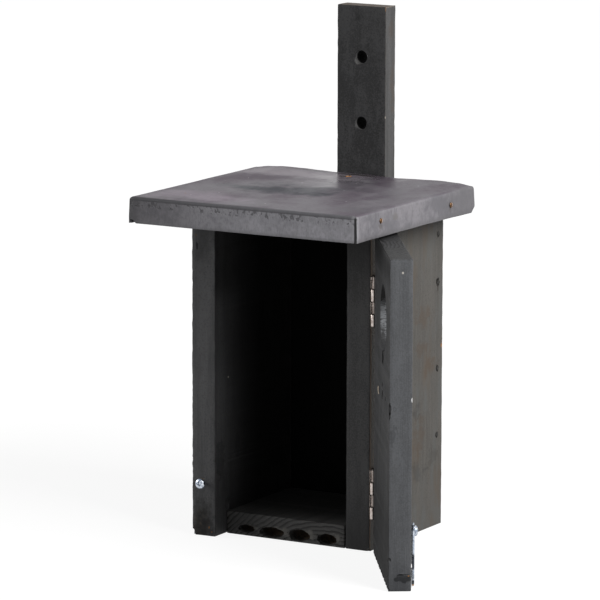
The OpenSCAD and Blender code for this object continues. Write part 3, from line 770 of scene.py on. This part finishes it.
# Painted highlights on the rounded cut edges at the right front corner, and painted shade in the gap between
# them.
seam_front_highlight = rubber.times(in_front, rubber.zone("x", 99.6, 100.6))
seam_side_highlight = rubber.times(on_right, rubber.zone("y", -67.8, -69))
rubber.cover(rubber.calc("MAXIMUM", seam_front_highlight, seam_side_highlight), (0.36, 0.355, 0.37), 0.3)
seam_gap_shade = rubber.times(rubber.zone("x", 102.3, 102.7), rubber.zone("y", -71.4, -71.9))
rubber.cover(rubber.times(seam_gap_shade, rubber.zone("z", 280.5, 279)), 0.012, 0.95)
rubber.cover(rubber.times(on_right, rubber.zone("z", 266, 260.5)), (0.11, 0.108, 0.11), 0.4)
for tack_y, _, _ in side_tacks:
    rubber.mark((104, tack_y - 0.6, 268), (4, 3.4, 5.2), (0.08, 0.072, 0.066), 0.65, 2.0, 260, 0.9)
rubber.marks(
    ((104, -10, 273), (4, 4, 4), (0.14, 0.13, 0.12), 0.5, 1.6, 240, 0.4),
    # The next two dark marks are painted shadow, beside the rear tack and along the batten's foot.
    ((-1, 116, 282), (26, 4, 4), (0.03, 0.028, 0.026), 0.85, 0.8, 300, 0.5),
    ((-6, 105, 282), (7, 4, 4), (0.04, 0.035, 0.03), 0.8, 1.4, 300, 0.4),
    ((-3.4, 107, 282), (2.8, 3, 4), (0.95, 0.36, 0.05), 0.9, 0.8, 500, 0.4))
for x, y in (
        (-50, -20), (30, 40), (-70, 60), (60, -10), (-64, -40), (10, -50), (70, 90), (20, 78), (-20, 60)):
    rubber.mark((x, y, 281), (0.65, 1.0, 4), (0.50, 0.49, 0.49), 0.8, 0.8, 800, 0.4)
rubber.mark((-72, -35, 281), (0.8, 1.2, 4), rust_brown, 0.8, 0.6, 800, 0.4)
right_rear = rubber.times(rubber.zone("x", 102.6, 103.4), rubber.zone("y", 53, 108, 0.0, 0.55))
rubber.cover(right_rear, (0.115, 0.112, 0.118))
by_batten = rubber.patch((10, 110, 281), (60, 130, 20), 0.6, 60, 0.9)
dull_dust = rubber.plus(rubber.ease(dust_tone, 0.0, 1.0, 0.5, 0.66), rubber.times(smudge, 0.15))
pebbles = rubber.plus(rubber.times(rubber.noise(1300, 3, 0.6), 0.15), rubber.times(dusty, 1.2))
rubber.wire(rubber.minus(dull_dust, rubber.times(by_batten, 0.26)), rubber.minus(pebbles, dimples),
            0.0004, 0.6, Specular_IOR_Level=0.3)
rubber.lay_on(sheet)
finish_piece(sheet, "box", "roof_sheet")


# Tacks
# Copper tacks pin the side flaps to the roof board's edges, two on each side, and a fifth holds
# the rear edge beside the batten. They have domed heads, and painted shade darkens one side of
# each side tack's head.
def draw_out(*by):
    """Extrudes what is picked."""
    bpy.ops.mesh.extrude_region_move(TRANSFORM_OT_translate={"value": by})


def turned(name, rings, sides=24):
    """A round piece about Z, drawn out ring by ring from its lower end: radius and height, in mm."""
    first_r, first_z = rings[0]
    bpy.ops.object.select_all(action="DESELECT")
    bpy.ops.mesh.primitive_circle_add(
        vertices=sides, radius=first_r / 1000, fill_type="NGON", location=(0, 0, first_z / 1000))
    piece = settle(name)
    begin_edit(piece)
    for (r0, z0), (r1, z1) in zip(rings, rings[1:]):
        draw_out(0, 0, (z1 - z0) / 1000)
        bpy.ops.transform.resize(value=(r1 / r0, r1 / r0, 1), center_override=(0, 0, z1 / 1000))
    end_edit()
    face_outwards(piece)
    return piece


def copy_to(piece, name, turn, spot):
    """A copy with its own mesh, turned and set down at the spot."""
    twin = bpy.data.objects.new(name, piece.data.copy())
    bpy.context.collection.objects.link(twin)
    twin.matrix_world = Matrix.Translation(spot) @ turn.to_4x4()
    return settle(name, twin)


def join(pieces, name):
    pick(pieces[0])
    for piece in pieces:
        piece.select_set(True)
    bpy.ops.object.join()
    pieces[0].name = pieces[0].data.name = name
    return pieces[0]


tack = turned("tack", ((0.2, -12), (0.78, -10.4), (0.78, 0), (2.0, 0.02), (2.2, 0.18), (2.1, 0.42),
                       (1.7, 0.72), (1.1, 0.92), (0.4, 1.0)))
to_right, to_left, upwards = (Matrix.Rotation(turn, 3, "Y") for turn in (pi / 2, -pi / 2, 0))
head_seat = half_across + sheet_thick / 2 - 0.05
tacks = []
for tack_y, tack_z, stand_off in side_tacks:
    for way, side, turn in ((1, "right", to_right), (-1, "left", to_left)):
        spot = place(sheet_centre_x + way * (head_seat + stand_off), tack_y, tack_z)
        tacks.append(copy_to(tack, "tack_" + side, turn, spot))
rear_spot = place(-4, 108.5, 0)
rear_spot.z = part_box("roof_tacks")[1].z - 0.001
tacks.append(copy_to(tack, "tack_rear", upwards, rear_spot))
bpy.data.objects.remove(tack)
tacks = join(tacks, "copper_tacks")
smooth(tacks, 50)
copper = Finish("tack_copper")
tarnish = copper.ease(copper.noise(800, 4, 0.65), 0.42, 0.6)
copper.colour = copper.mix(tarnish, paint((0.58, 0.46, 0.37)), paint((0.34, 0.20, 0.11)))
# Painted shade on one side of each side tack's head.
for tack_y, tack_z, _ in side_tacks:
    shaded_side = (105, tack_y - 1.3, tack_z - 0.4), (300, 2.1, 3.6)
    copper.mark(*shaded_side, (0.085, 0.038, 0.012), 0.95, 0.4, 900, 0.3)
copper.shade("Principled BSDF", Base_Color=copper.colour, Metallic=0.9,
             Roughness=copper.ease(tarnish, 0.0, 1.0, 0.22, 0.5))
copper.lay_on(tacks)
finish_piece(tacks, "box", "roof_tacks")


# Hanging batten
# A planed batten runs up behind the box, held by three screws, with two holes for hanging it.
# Its sawn ends are rough, and the wood is chipped where the holes were drilled.
def drill(piece, radius, middle, length, turn, sides=48, tip=None):
    """Bores a round hole, or a tapered one where the tip's radius differs."""
    bpy.ops.object.select_all(action="DESELECT")
    bpy.ops.mesh.primitive_cone_add(
        vertices=sides, radius1=radius, radius2=radius if tip is None else tip, depth=length,
        location=middle, rotation=turn)
    cut_out(piece, settle("drill"))


low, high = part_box("hanging_batten")
batten = sawn_board("hanging_batten_board", low, high, 2)
hanging_holes, along_y = (378, 324), (pi / 2, 0, 0)
rear_r, front_r = 0.0034, 0.0056
for hole_z in hanging_holes:
    drill(batten, rear_r, place(0, 129.5, hole_z), 0.03, along_y, tip=front_r)
for chip in (((-2.6, 120.9, 375.6), (3.6, 1.6, 3.8), 3, 0.3), ((-3, 120.9, 322.6), (2.6, 1.2, 3), 8, 0.3),
             ((-22.6, 120.9, 312), (1.6, 1, 3), 4)):
    gouge(batten, *chip)
rough_sawn(batten, 0.0006, 0.005)
wood = WoodFinish("batten_stain", low, high, 2, (-0.02, -0.1, 0), (0.090, 0.089, 0.089),
                  ring_show=0.08, end_tones=(0.5, 2.6), wear=0.002, worn=(0.22, 0.175, 0.135))
wood.mark((0, 138, 420), (60, 60, 0.9), (0.20, 0.155, 0.12), 0.5, 1.2, 160)
wood.cover_unevenly(wood.zone("y", 122.2, 121.4, 0.0, 0.9), (0.043, 0.043, 0.044), 0.36)
for hole_z in hanging_holes:
    # Painted shade inside each hanging hole, near black.
    bore = wood.times(wood.ease(wood.from_bore(hole_z), 0.0064, 0.0058), wood.zone("y", 122.5, 124.5))
    wood.cover(bore, 0.002)
    wood.dull(bore, 0.5)
wood.marks(
    ((-3, 121, 410), (5, 2, 3), 0.02, 0.4, 3.4, 420, 0.7),
    ((3, 121, 386), (8, 2, 4), 0.025, 0.35, 2.6, 200, 0.8),
    ((-4.2, 121, 374), (2.2, 2, 2.6), (0.14, 0.135, 0.13), 0.4, 1.4, 400),
    ((18, 121, 300), (4, 2, 0.6), 0.015, 0.6, 1.6, 500, 0.6),
    ((-2, 121, 285), (4, 2, 1.2), 0.018, 0.45, 2.6, 420, 0.7),
    ((4, 121, 276), (26, 2, 16), (0.022, 0.022, 0.023), 0.5, 2.2, 120, 0.9),
    ((22.5, 134, 352), (2, 5, 26), (0.12, 0.098, 0.082), 0.45, 2.4, 160, 0.8),
    ((22.5, 131, 400), (2, 7, 12), (0.105, 0.085, 0.073), 0.45, 1.6, 260, 0.8),
    ((22.5, 121.5, 330), (0.6, 0.8, 1.4), (0.5, 0.45, 0.38), 0.7, 0.8, 700),
    ((22.5, 121.3, 418), (0.9, 0.9, 2.4), rust_brown, 0.5, 1.2, 500))
wood.stain(batten, gloss=0.12)
finish_piece(batten, "box", "hanging_batten")

# Door
# One board as high as the opening, with the round entrance hole, hung on two hinges. It is made
# here as it is when shut, and then swung open about the hinges.
hinge_x, hinge_y, open_turn = 79.8, -0.25, radians(124)
hinge_line = place(hinge_x, hinge_y, 0)
swing_open = (Matrix.Translation(hinge_line) @ Matrix.Rotation(open_turn, 4, "Z")
              @ Matrix.Translation(-hinge_line))
shut_again = (-open_turn, hinge_line - Matrix.Rotation(-open_turn, 3, "Z") @ hinge_line)


def swing(piece):
    piece.matrix_world = swing_open @ piece.matrix_world
    return settle(piece.name, piece)


low, high = place(-53.5, -18.5, 0), place(77, -0.5, 257.5)
entrance_z, entrance_r = 203, 0.026
door = sawn_board("door_board", low, high, 2, step=0.004)
drill(door, entrance_r, place(0, -9.5, entrance_z), 0.03, along_y, sides=96)
for chip in (((3, -0.5, 172), (4.2, 1.2, 5.4), 3, 0.3), ((5, -0.4, 142), (1.2, 1.2, 2.2), 5, 0.4),
             ((4, -0.4, 149), (1, 1.1, 1.8), 6, 0.4), ((-53.3, -0.6, 140), (1.3, 1.4, 7.2), 7, 0.5, 0.08),
             ((-53.6, -1.2, 25), (1, 1.3, 1.6), 8, 0.4), ((-53.9, -12.5, 12.6), (0.9, 6.2, 1.6), 9, 0.5)):
    gouge(door, *chip)
foot_chips = ((-36, 0.4), (-26, 0), (-12, 0.2), (4, 0), (16, 0.3), (33, 0), (48, 0.2), (60, 0))
for number, (x, z) in enumerate(foot_chips):
    gouge(door, (x, -0.4, z), (4.8, 1.1, 1.2 + 0.4 * (number % 3)), 20 + number, 0.5)
rough_sawn(door, 0.0005, 0.005)
wood = WoodFinish("door_stain", low, high, 2, (0.02, -0.105, 0), (0.104, 0.104, 0.106), 0.14, 0.1, 0.0030,
                  end_tones=(0.035, 0.36), wander=0.012, shut=shut_again)
wood.cover_unevenly(wood.zone("x", -52.7, -53.2, 0.0, 0.6), (0.106, 0.111, 0.120), 0.2)
# Painted shade on the inner face: darker all over, and darker still towards its foot and its top.
inside = wood.zone("y", -1.1, -0.7)
wood.cover_unevenly(wood.times(inside, 0.9), (0.034, 0.034, 0.035), 0.45)
shaded_ends = wood.calc("MAXIMUM", wood.zone("z", 108, 0), wood.zone("z", 228, 253, 0.0, 0.8))
wood.cover(wood.times(inside, shaded_ends), 0.008, 0.85)
wood.dull(inside, wood.plus(0.12, wood.times(shaded_ends, 0.5)))
hole_wall = wood.ease(wood.from_bore(entrance_z), entrance_r + 0.0006, entrance_r + 0.0003)
wood.cover(hole_wall, (0.030, 0.030, 0.031))
hole_torn = wood.patch((26, -9, 219), (20, 20, 7), 2.4, 420, 0.3)
hole_pale = wood.patch((26, -9, 199), (30, 20, 21.5), 1.2, 240, 0.7)
pale_fibres = wood.ease(wood.noise(520, 4, 0.7, (1, 0.5, 1.4)), 0.36, 0.58)
hole_fibres = wood.times(hole_wall, wood.times(pale_fibres, hole_pale))
wood.cover(hole_fibres, (0.200, 0.206, 0.215))
wood.cover(wood.times(hole_wall, hole_torn), old_hole)
wood.height = wood.plus(wood.height, wood.times(hole_fibres, 0.6))
wood.marks(
    ((3, -0.5, 171.5), (7, 2, 6.6), 0.002, 1.0, 0.7, 400),
    ((40, -0.5, 139), (7, 2, 3.4), (0.95, 0.80, 0.62), 1.0, 0.5, 500),
    ((34.5, -0.5, 139.8), (6.5, 2, 3.2), (0.036, 0.036, 0.037), 1.0, 0.5, 500))
for x, z, half_w, half_h in (
        (6, 150, 3.6, 1.8), (4, 143.5, 3, 2.4), (8, 139.5, 3, 1.4), (-19, 143.5, 3, 1.8)):
    wood.mark((x, -0.5, z), (half_w * 1.2, 2, half_h * 1.15), 0.004, 1.0, 0.9, 500)
for x in range(-50, 75, 9):
    wood.mark((x, -0.5, 0.5), (6, 2, 2.5 + x * 5 % 4), 0.004, 0.95, 1.6, 200)
wood.marks(
    ((-53.3, -0.7, 140), (1.7, 1.3, 6.4), old_hole, 0.9, 1.2, 420),
    ((-53.5, -4.8, 142), (2, 1.5, 2), (0.06, 0.062, 0.065), 0.6, 0.4, 600),
    ((-53.5, -4.8, 142), (2, 1, 1.4), (0.125, 0.13, 0.138), 0.9, 0.4, 600),
    ((-53.5, -4, 122), (2, 3, 8), (0.07, 0.072, 0.076), 0.5, 3.0, 260),
    ((-53.5, -9.5, 4), (4, 13, 26), (0.055, 0.057, 0.062), 0.55, 0.8, 100, 0.9),
    ((-53.5, -11.7, 10.2), (3, 7.2, 3.6), (0.030, 0.031, 0.033), 0.9, 1.3, 260),
    ((-53.5, -12.4, 14.4), (3, 3.6, 0.5), (0.16, 0.165, 0.175), 0.6, 0.9, 400),
    ((-53.5, -16.2, 12.2), (2, 0.8, 0.7), rust_brown, 0.9, 0.5, 700),
    ((-53.4, -18.4, 149), (1.2, 1, 2.2), 0.85, 1.0, 0.5, 700),
    ((-53.5, -10.5, 247), (2, 1, 1), pale_fleck, 0.9, 0.8, 800),
    ((48, -0.5, 172), (1.2, 2, 1), 0.02, 0.6, 0.8, 500),
    ((18, -0.5, 96), (1, 2, 1.2), bare_wood, 0.7, 0.6, 600))
wood.stain(door)
finish_piece(swing(door), "door", "door_panel")

# Hinges
# Two small steel butt hinges, nickel plated, lie on the outer side of wall and door. Each leaf's
# tabs are rolled round the pin, and the leaves are held by countersunk cross-head screws.
plating, given, result = new_group("plated_metal", {}, ("Cloud", "Scratch", "Grime"))
plating.feed(result["Cloud"], plating.noise(420))
plating.feed(result["Scratch"], plating.noise(1500, 3, 0.7, (0.25, 1, 2.5)))
plating.feed(result["Grime"], plating.ease(plating.noise(260, 4, 0.7), 0.53, 0.66))


hinge_levels = (("lower", 47, 0.3), ("upper", 202, 1.1))      # middle height, turn of its screws
knuckle_step = 0.010


def plated(name, bright, dull, grime, dirt_and_reflections=(), more_dirt_and_shade=None):
    """Bright plating that has clouded, with fine scratches and grime on it, and any marks it is given:
    soiling, painted reflections and painted shade.
    """
    metal = Finish(name)
    look = metal.group(plating)
    metal.colour = metal.mix(metal.ease(look["Cloud"], 0.4, 0.62), paint(bright), paint(dull))
    metal.cover(look["Grime"], grime, 0.6)
    for centre, size, colour, strength in dirt_and_reflections:
        metal.cover(metal.patch(centre, size, 0.7, 420, 0.35), colour, strength)
    if more_dirt_and_shade:
        more_dirt_and_shade(metal)
    clouded = metal.ease(look["Cloud"], 0.3, 0.7, 0.16, 0.34)
    roughness = metal.plus(clouded, metal.times(look["Grime"], 0.3))
    metal.wire(roughness, look["Scratch"], 0.00003, 0.4, Metallic=0.95)
    return metal


def dirty_joints_and_door_shadow(metal):
    """Dirt lies in the joints between the knuckles, and painted shadow of the door leaf darkens the barrel's
    side against the door.
    """
    height = metal.axes["z"]
    lower_z, upper_z = (place(0, 0, mid_z).z for _, mid_z, _ in hinge_levels)
    half_step = knuckle_step / 2      # the lower hinge's joints lie half a step off the upper one's
    past_joint = metal.calc("PINGPONG", metal.minus(height, upper_z), half_step)
    on_lower = metal.calc("LESS_THAN", height, (lower_z + upper_z) / 2)
    from_joint = metal.calc("ABSOLUTE", metal.minus(past_joint, metal.times(on_lower, half_step)))
    towards_door = (0.867, 0.498, 0)
    sideways = metal.vector("DOT_PRODUCT", metal.vector("SUBTRACT", metal.where, hinge_line), towards_door)
    # Painted shadow of the door leaf on the barrel.
    door_leaf_shadow = metal.times(metal.ease(sideways, -0.0008, 0.0002), metal.ease(sideways, 0.0050, 0.0034))
    metal.cover(door_leaf_shadow, (0.030, 0.026, 0.024), 0.9)
    metal.cover(metal.ease(from_joint, 0.0006, 0.0003), (0.020, 0.016, 0.014), 0.9)


nickel = plated("hinge_nickel", (0.60, 0.535, 0.50), (0.42, 0.36, 0.33), (0.12, 0.075, 0.05),
                more_dirt_and_shade=dirty_joints_and_door_shadow)
zinc = plated("zinc_plate", (0.64, 0.68, 0.74), (0.19, 0.23, 0.30), (0.07, 0.075, 0.09))

knuckle_r, leaf_thick, leaf_reach, barrel_lift, hinge_half = 2.5, 1.2, 12.5, 0.3, 20
screw_reach, screw_heights = 7.65, (-12.5, 12.5)
along_x, bore_r, seat_low_r, seat_top_r = (0, pi / 2, 0), 0.00155, 0.0016, 0.0028
root = knuckle_r + barrel_lift
leaf_back = hinge_x - root


def rolled_leaf(name, side):
    """A leaf about the hinge line, with its middle at height 0: side 1 on the wall, -1 on the door."""
    near, far = sorted((hinge_y + side * root, hinge_y + side * leaf_reach))
    leaf = block(name, place(leaf_back, near, -hinge_half), place(leaf_back + leaf_thick, far, hinge_half))
    tabs = ((-20, -10.1), (0.1, 9.9)) if side > 0 else ((-9.9, -0.1), (10.1, 20))
    cut_across(leaf, 2, [place(0, 0, z).z for tab in tabs for z in tab if abs(z) < hinge_half])
    for screw_z in screw_heights:
        at = place(leaf_back + leaf_thick / 2, hinge_y + side * screw_reach, screw_z)
        drill(leaf, bore_r, at, 0.004, along_x, sides=32)
        drill(leaf, seat_low_r, at + Vector((0.0001, 0, 0)), 0.00101, along_x, sides=32, tip=seat_top_r)
    for low_z, high_z in tabs:
        end = place(0, hinge_y + side * root, (low_z + high_z) / 2)
        edit_faces(leaf, lambda face: face.normal.y * side < -0.9 and abs(face.center.z - end.z) < 0.001
                   and abs(face.center.y - end.y) < 0.0002)
        draw_out(0, -side * (root - leaf_thick) / 1000, 0)
        draw_out(barrel_lift / 1000, -side * leaf_thick / 1000, 0)
        bpy.ops.mesh.spin(steps=24, angle=side * radians(300), center=hinge_line, axis=(0, 0, 1))
        end_edit()
    begin_edit(leaf)
    bpy.ops.mesh.remove_doubles(threshold=0.00001)
    bpy.ops.mesh.select_all(action="DESELECT")
    bpy.ops.mesh.select_interior_faces()
    bpy.ops.mesh.delete(type="FACE")
    end_edit()
    face_outwards(leaf)
    soften(leaf, 0.00015, 50)
    smooth(leaf, 40)
    return leaf


def cross_recess(piece, width, length, depth, top):
    """Presses a cross for the screwdriver into a head, narrower at its bottom."""
    for size_x, size_y in ((length, width), (width, length)):
        half = Vector((size_x, size_y, depth + 1)) / 2000
        middle = Vector((0, 0, (2 * top - depth + 1) / 2000))
        blade = block("driver", middle - half, middle + half)
        edit_faces(blade, lambda face: face.normal.z < -0.9)
        bpy.ops.transform.resize(value=(0.55, 0.55, 1), center_override=(0, 0, (top - depth) / 1000))
        end_edit()
        cut_out(piece, blade)


leaf_screw = turned("leaf_screw", ((0.4, -14), (1.5, -11), (1.5, -1.0), (2.6, -0.12), (2.66, -0.02),
                                   (2.3, 0.0), (0.8, 0.0)))
cross_recess(leaf_screw, 0.7, 3.0, 0.9, 0)
smooth(leaf_screw)
for side, body, carrier in ((1, "box", "wall"), (-1, "door", "door")):
    first_leaf = rolled_leaf("rolled_leaf", side)
    nickel.lay_on(first_leaf)
    for level, mid_z, _ in hinge_levels:
        name = f"{level}_{carrier}_leaf"
        leaf = copy_to(first_leaf, name + "_rolled", upwards, Vector((0, 0, mid_z / 1000)))
        if body == "door":
            swing(leaf)
        finish_piece(leaf, body, name)
    bpy.data.objects.remove(first_leaf)
    screws = []
    for _, mid_z, turn in hinge_levels:
        for screw_z in screw_heights:
            spot = place(leaf_back + leaf_thick, hinge_y + side * screw_reach, mid_z + screw_z)
            slot_turn = Matrix.Rotation(turn + 0.4 * len(screws), 3, "Z")
            screws.append(copy_to(leaf_screw, "screw", to_right @ slot_turn, spot))
    screws = join(screws, carrier + "_leaf_screws_countersunk")
    zinc.lay_on(screws)
    if body == "door":
        swing(screws)
    finish_piece(screws, body, carrier + "_leaf_screws")
bpy.data.objects.remove(leaf_screw)
hinge_pin = turned("hinge_pin", ((0.7, -20.6), (1.1, -20.45), (1.25, -20.2), (1.25, 20.2), (1.1, 20.45),
                                 (0.7, 20.6)))
for level, mid_z, _ in hinge_levels:
    pin = copy_to(hinge_pin, level + "_pin_steel", upwards, place(hinge_x, hinge_y, mid_z))
    nickel.lay_on(pin)
    smooth(pin, 50)
    finish_piece(pin, "box", level + "_hinge_pin")
bpy.data.objects.remove(hinge_pin)

# Latch
# A zinc-plated hook plate hangs from a pan-head screw and washer on the door's outer face. With
# the door shut it swings up, and its notch drops over the striker screw in the left wall.
pivot_x, striker_x, latch_z = -37.5, -66, 44
outwards = Matrix.Rotation(pi / 2, 3, "X")
pan_screw = turned("pan_screw", (
    (0.5, -17.2), (1.7, -13.8), (1.7, 0), (4.0, 0.02), (4.18, 0.25), (4.2, 0.9), (4.1, 1.4), (3.8, 1.95),
    (3.2, 2.45), (2.3, 2.8), (1.2, 2.97)), sides=40)
cross_recess(pan_screw, 1.1, 4.6, 1.5, 3.0)
smooth(pan_screw)
zinc.lay_on(pan_screw)
striker = copy_to(pan_screw, "striker_pan_screw", outwards @ Matrix.Rotation(0.35, 3, "Z"),
                  place(striker_x, -22.1, latch_z))
finish_piece(striker, "box", "striker_screw")
pivot = copy_to(pan_screw, "pivot_pan_screw", outwards @ Matrix.Rotation(0.9, 3, "Z"),
                place(pivot_x, -21.7, latch_z))
finish_piece(swing(pivot), "door", "latch_pivot_screw")
bpy.data.objects.remove(pan_screw)

pivot_bore = 0.00175
washer = turned("washer", ((1.9, 0), (4.3, 0.0), (4.5, 0.2), (4.5, 1.3), (4.3, 1.5), (1.9, 1.5)), sides=40)
drill(washer, pivot_bore, Vector((0, 0, 0.00075)), 0.004, (0, 0, 0))
washer.matrix_world = Matrix.Translation(place(pivot_x, -18.5, latch_z)) @ outwards.to_4x4()
washer = swing(settle("latch_washer_zinc", washer))
smooth(washer, 40)
plated("washer_zinc", (0.20, 0.22, 0.25), (0.05, 0.055, 0.065), (0.02, 0.02, 0.022)).lay_on(washer)
finish_piece(washer, "door", "latch_washer")

plate_thick, plate_end_r, plate_drop = 0.0015, 0.0065, 0.037
notch_r, notch_drop = 0.00195, (striker_x - pivot_x) / 1000
bpy.ops.object.select_all(action="DESELECT")
bpy.ops.mesh.primitive_circle_add(
    vertices=64, radius=plate_end_r, fill_type="NGON", location=(0, 0, 0), rotation=along_y)
hook = settle("latch_hook_plate")
for vertex in hook.data.vertices:
    if vertex.co.z < -1e-6:
        vertex.co.z -= plate_drop
begin_edit(hook)
draw_out(0, -plate_thick, 0)
end_edit()
face_outwards(hook)
drill(hook, pivot_bore, Vector((0, -plate_thick / 2, 0)), 0.004, along_y)
drill(hook, notch_r, Vector((0, -plate_thick / 2, notch_drop)), 0.004, along_y)
notch_low = Vector((0, -0.003, notch_drop - notch_r))
notch_high = Vector((0.0075, 0.001, notch_drop + notch_r))
cut_out(hook, block("notch", notch_low, notch_high))
soften(hook, 0.00025, 50)
smooth(hook, 40)
hook.matrix_world = Matrix.Translation(place(pivot_x, -20.1, latch_z))
swing(settle("latch_hook_plate", hook))
# The three dark bands are painted reflections on the hook's edge; the small orange spot is rust.
hook_dirt_and_reflections = [(swing_open @ place(x, -20.85, z), (1.9, 1.9, half_h), colour, strength)
             for x, z, half_h, colour, strength in (
                 (-42.6, 48, 5.5, (0.05, 0.055, 0.065), 0.9), (-44, 21, 7.4, (0.035, 0.038, 0.048), 0.95),
                 (-43.4, 4.4, 2.8, (0.03, 0.032, 0.036), 0.95), (-41.9, 2.2, 0.8, (0.45, 0.22, 0.05), 0.9))]
plated("hook_zinc", (0.62, 0.67, 0.74), (0.34, 0.39, 0.47), (0.07, 0.075, 0.09), hook_dirt_and_reflections).lay_on(hook)
finish_piece(hook, "hook", "latch_hook")

# Batten screws
# Three countersunk screws go through the back of the batten into the box and the roof board.
zinc.lay_on(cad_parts["batten_screws"])
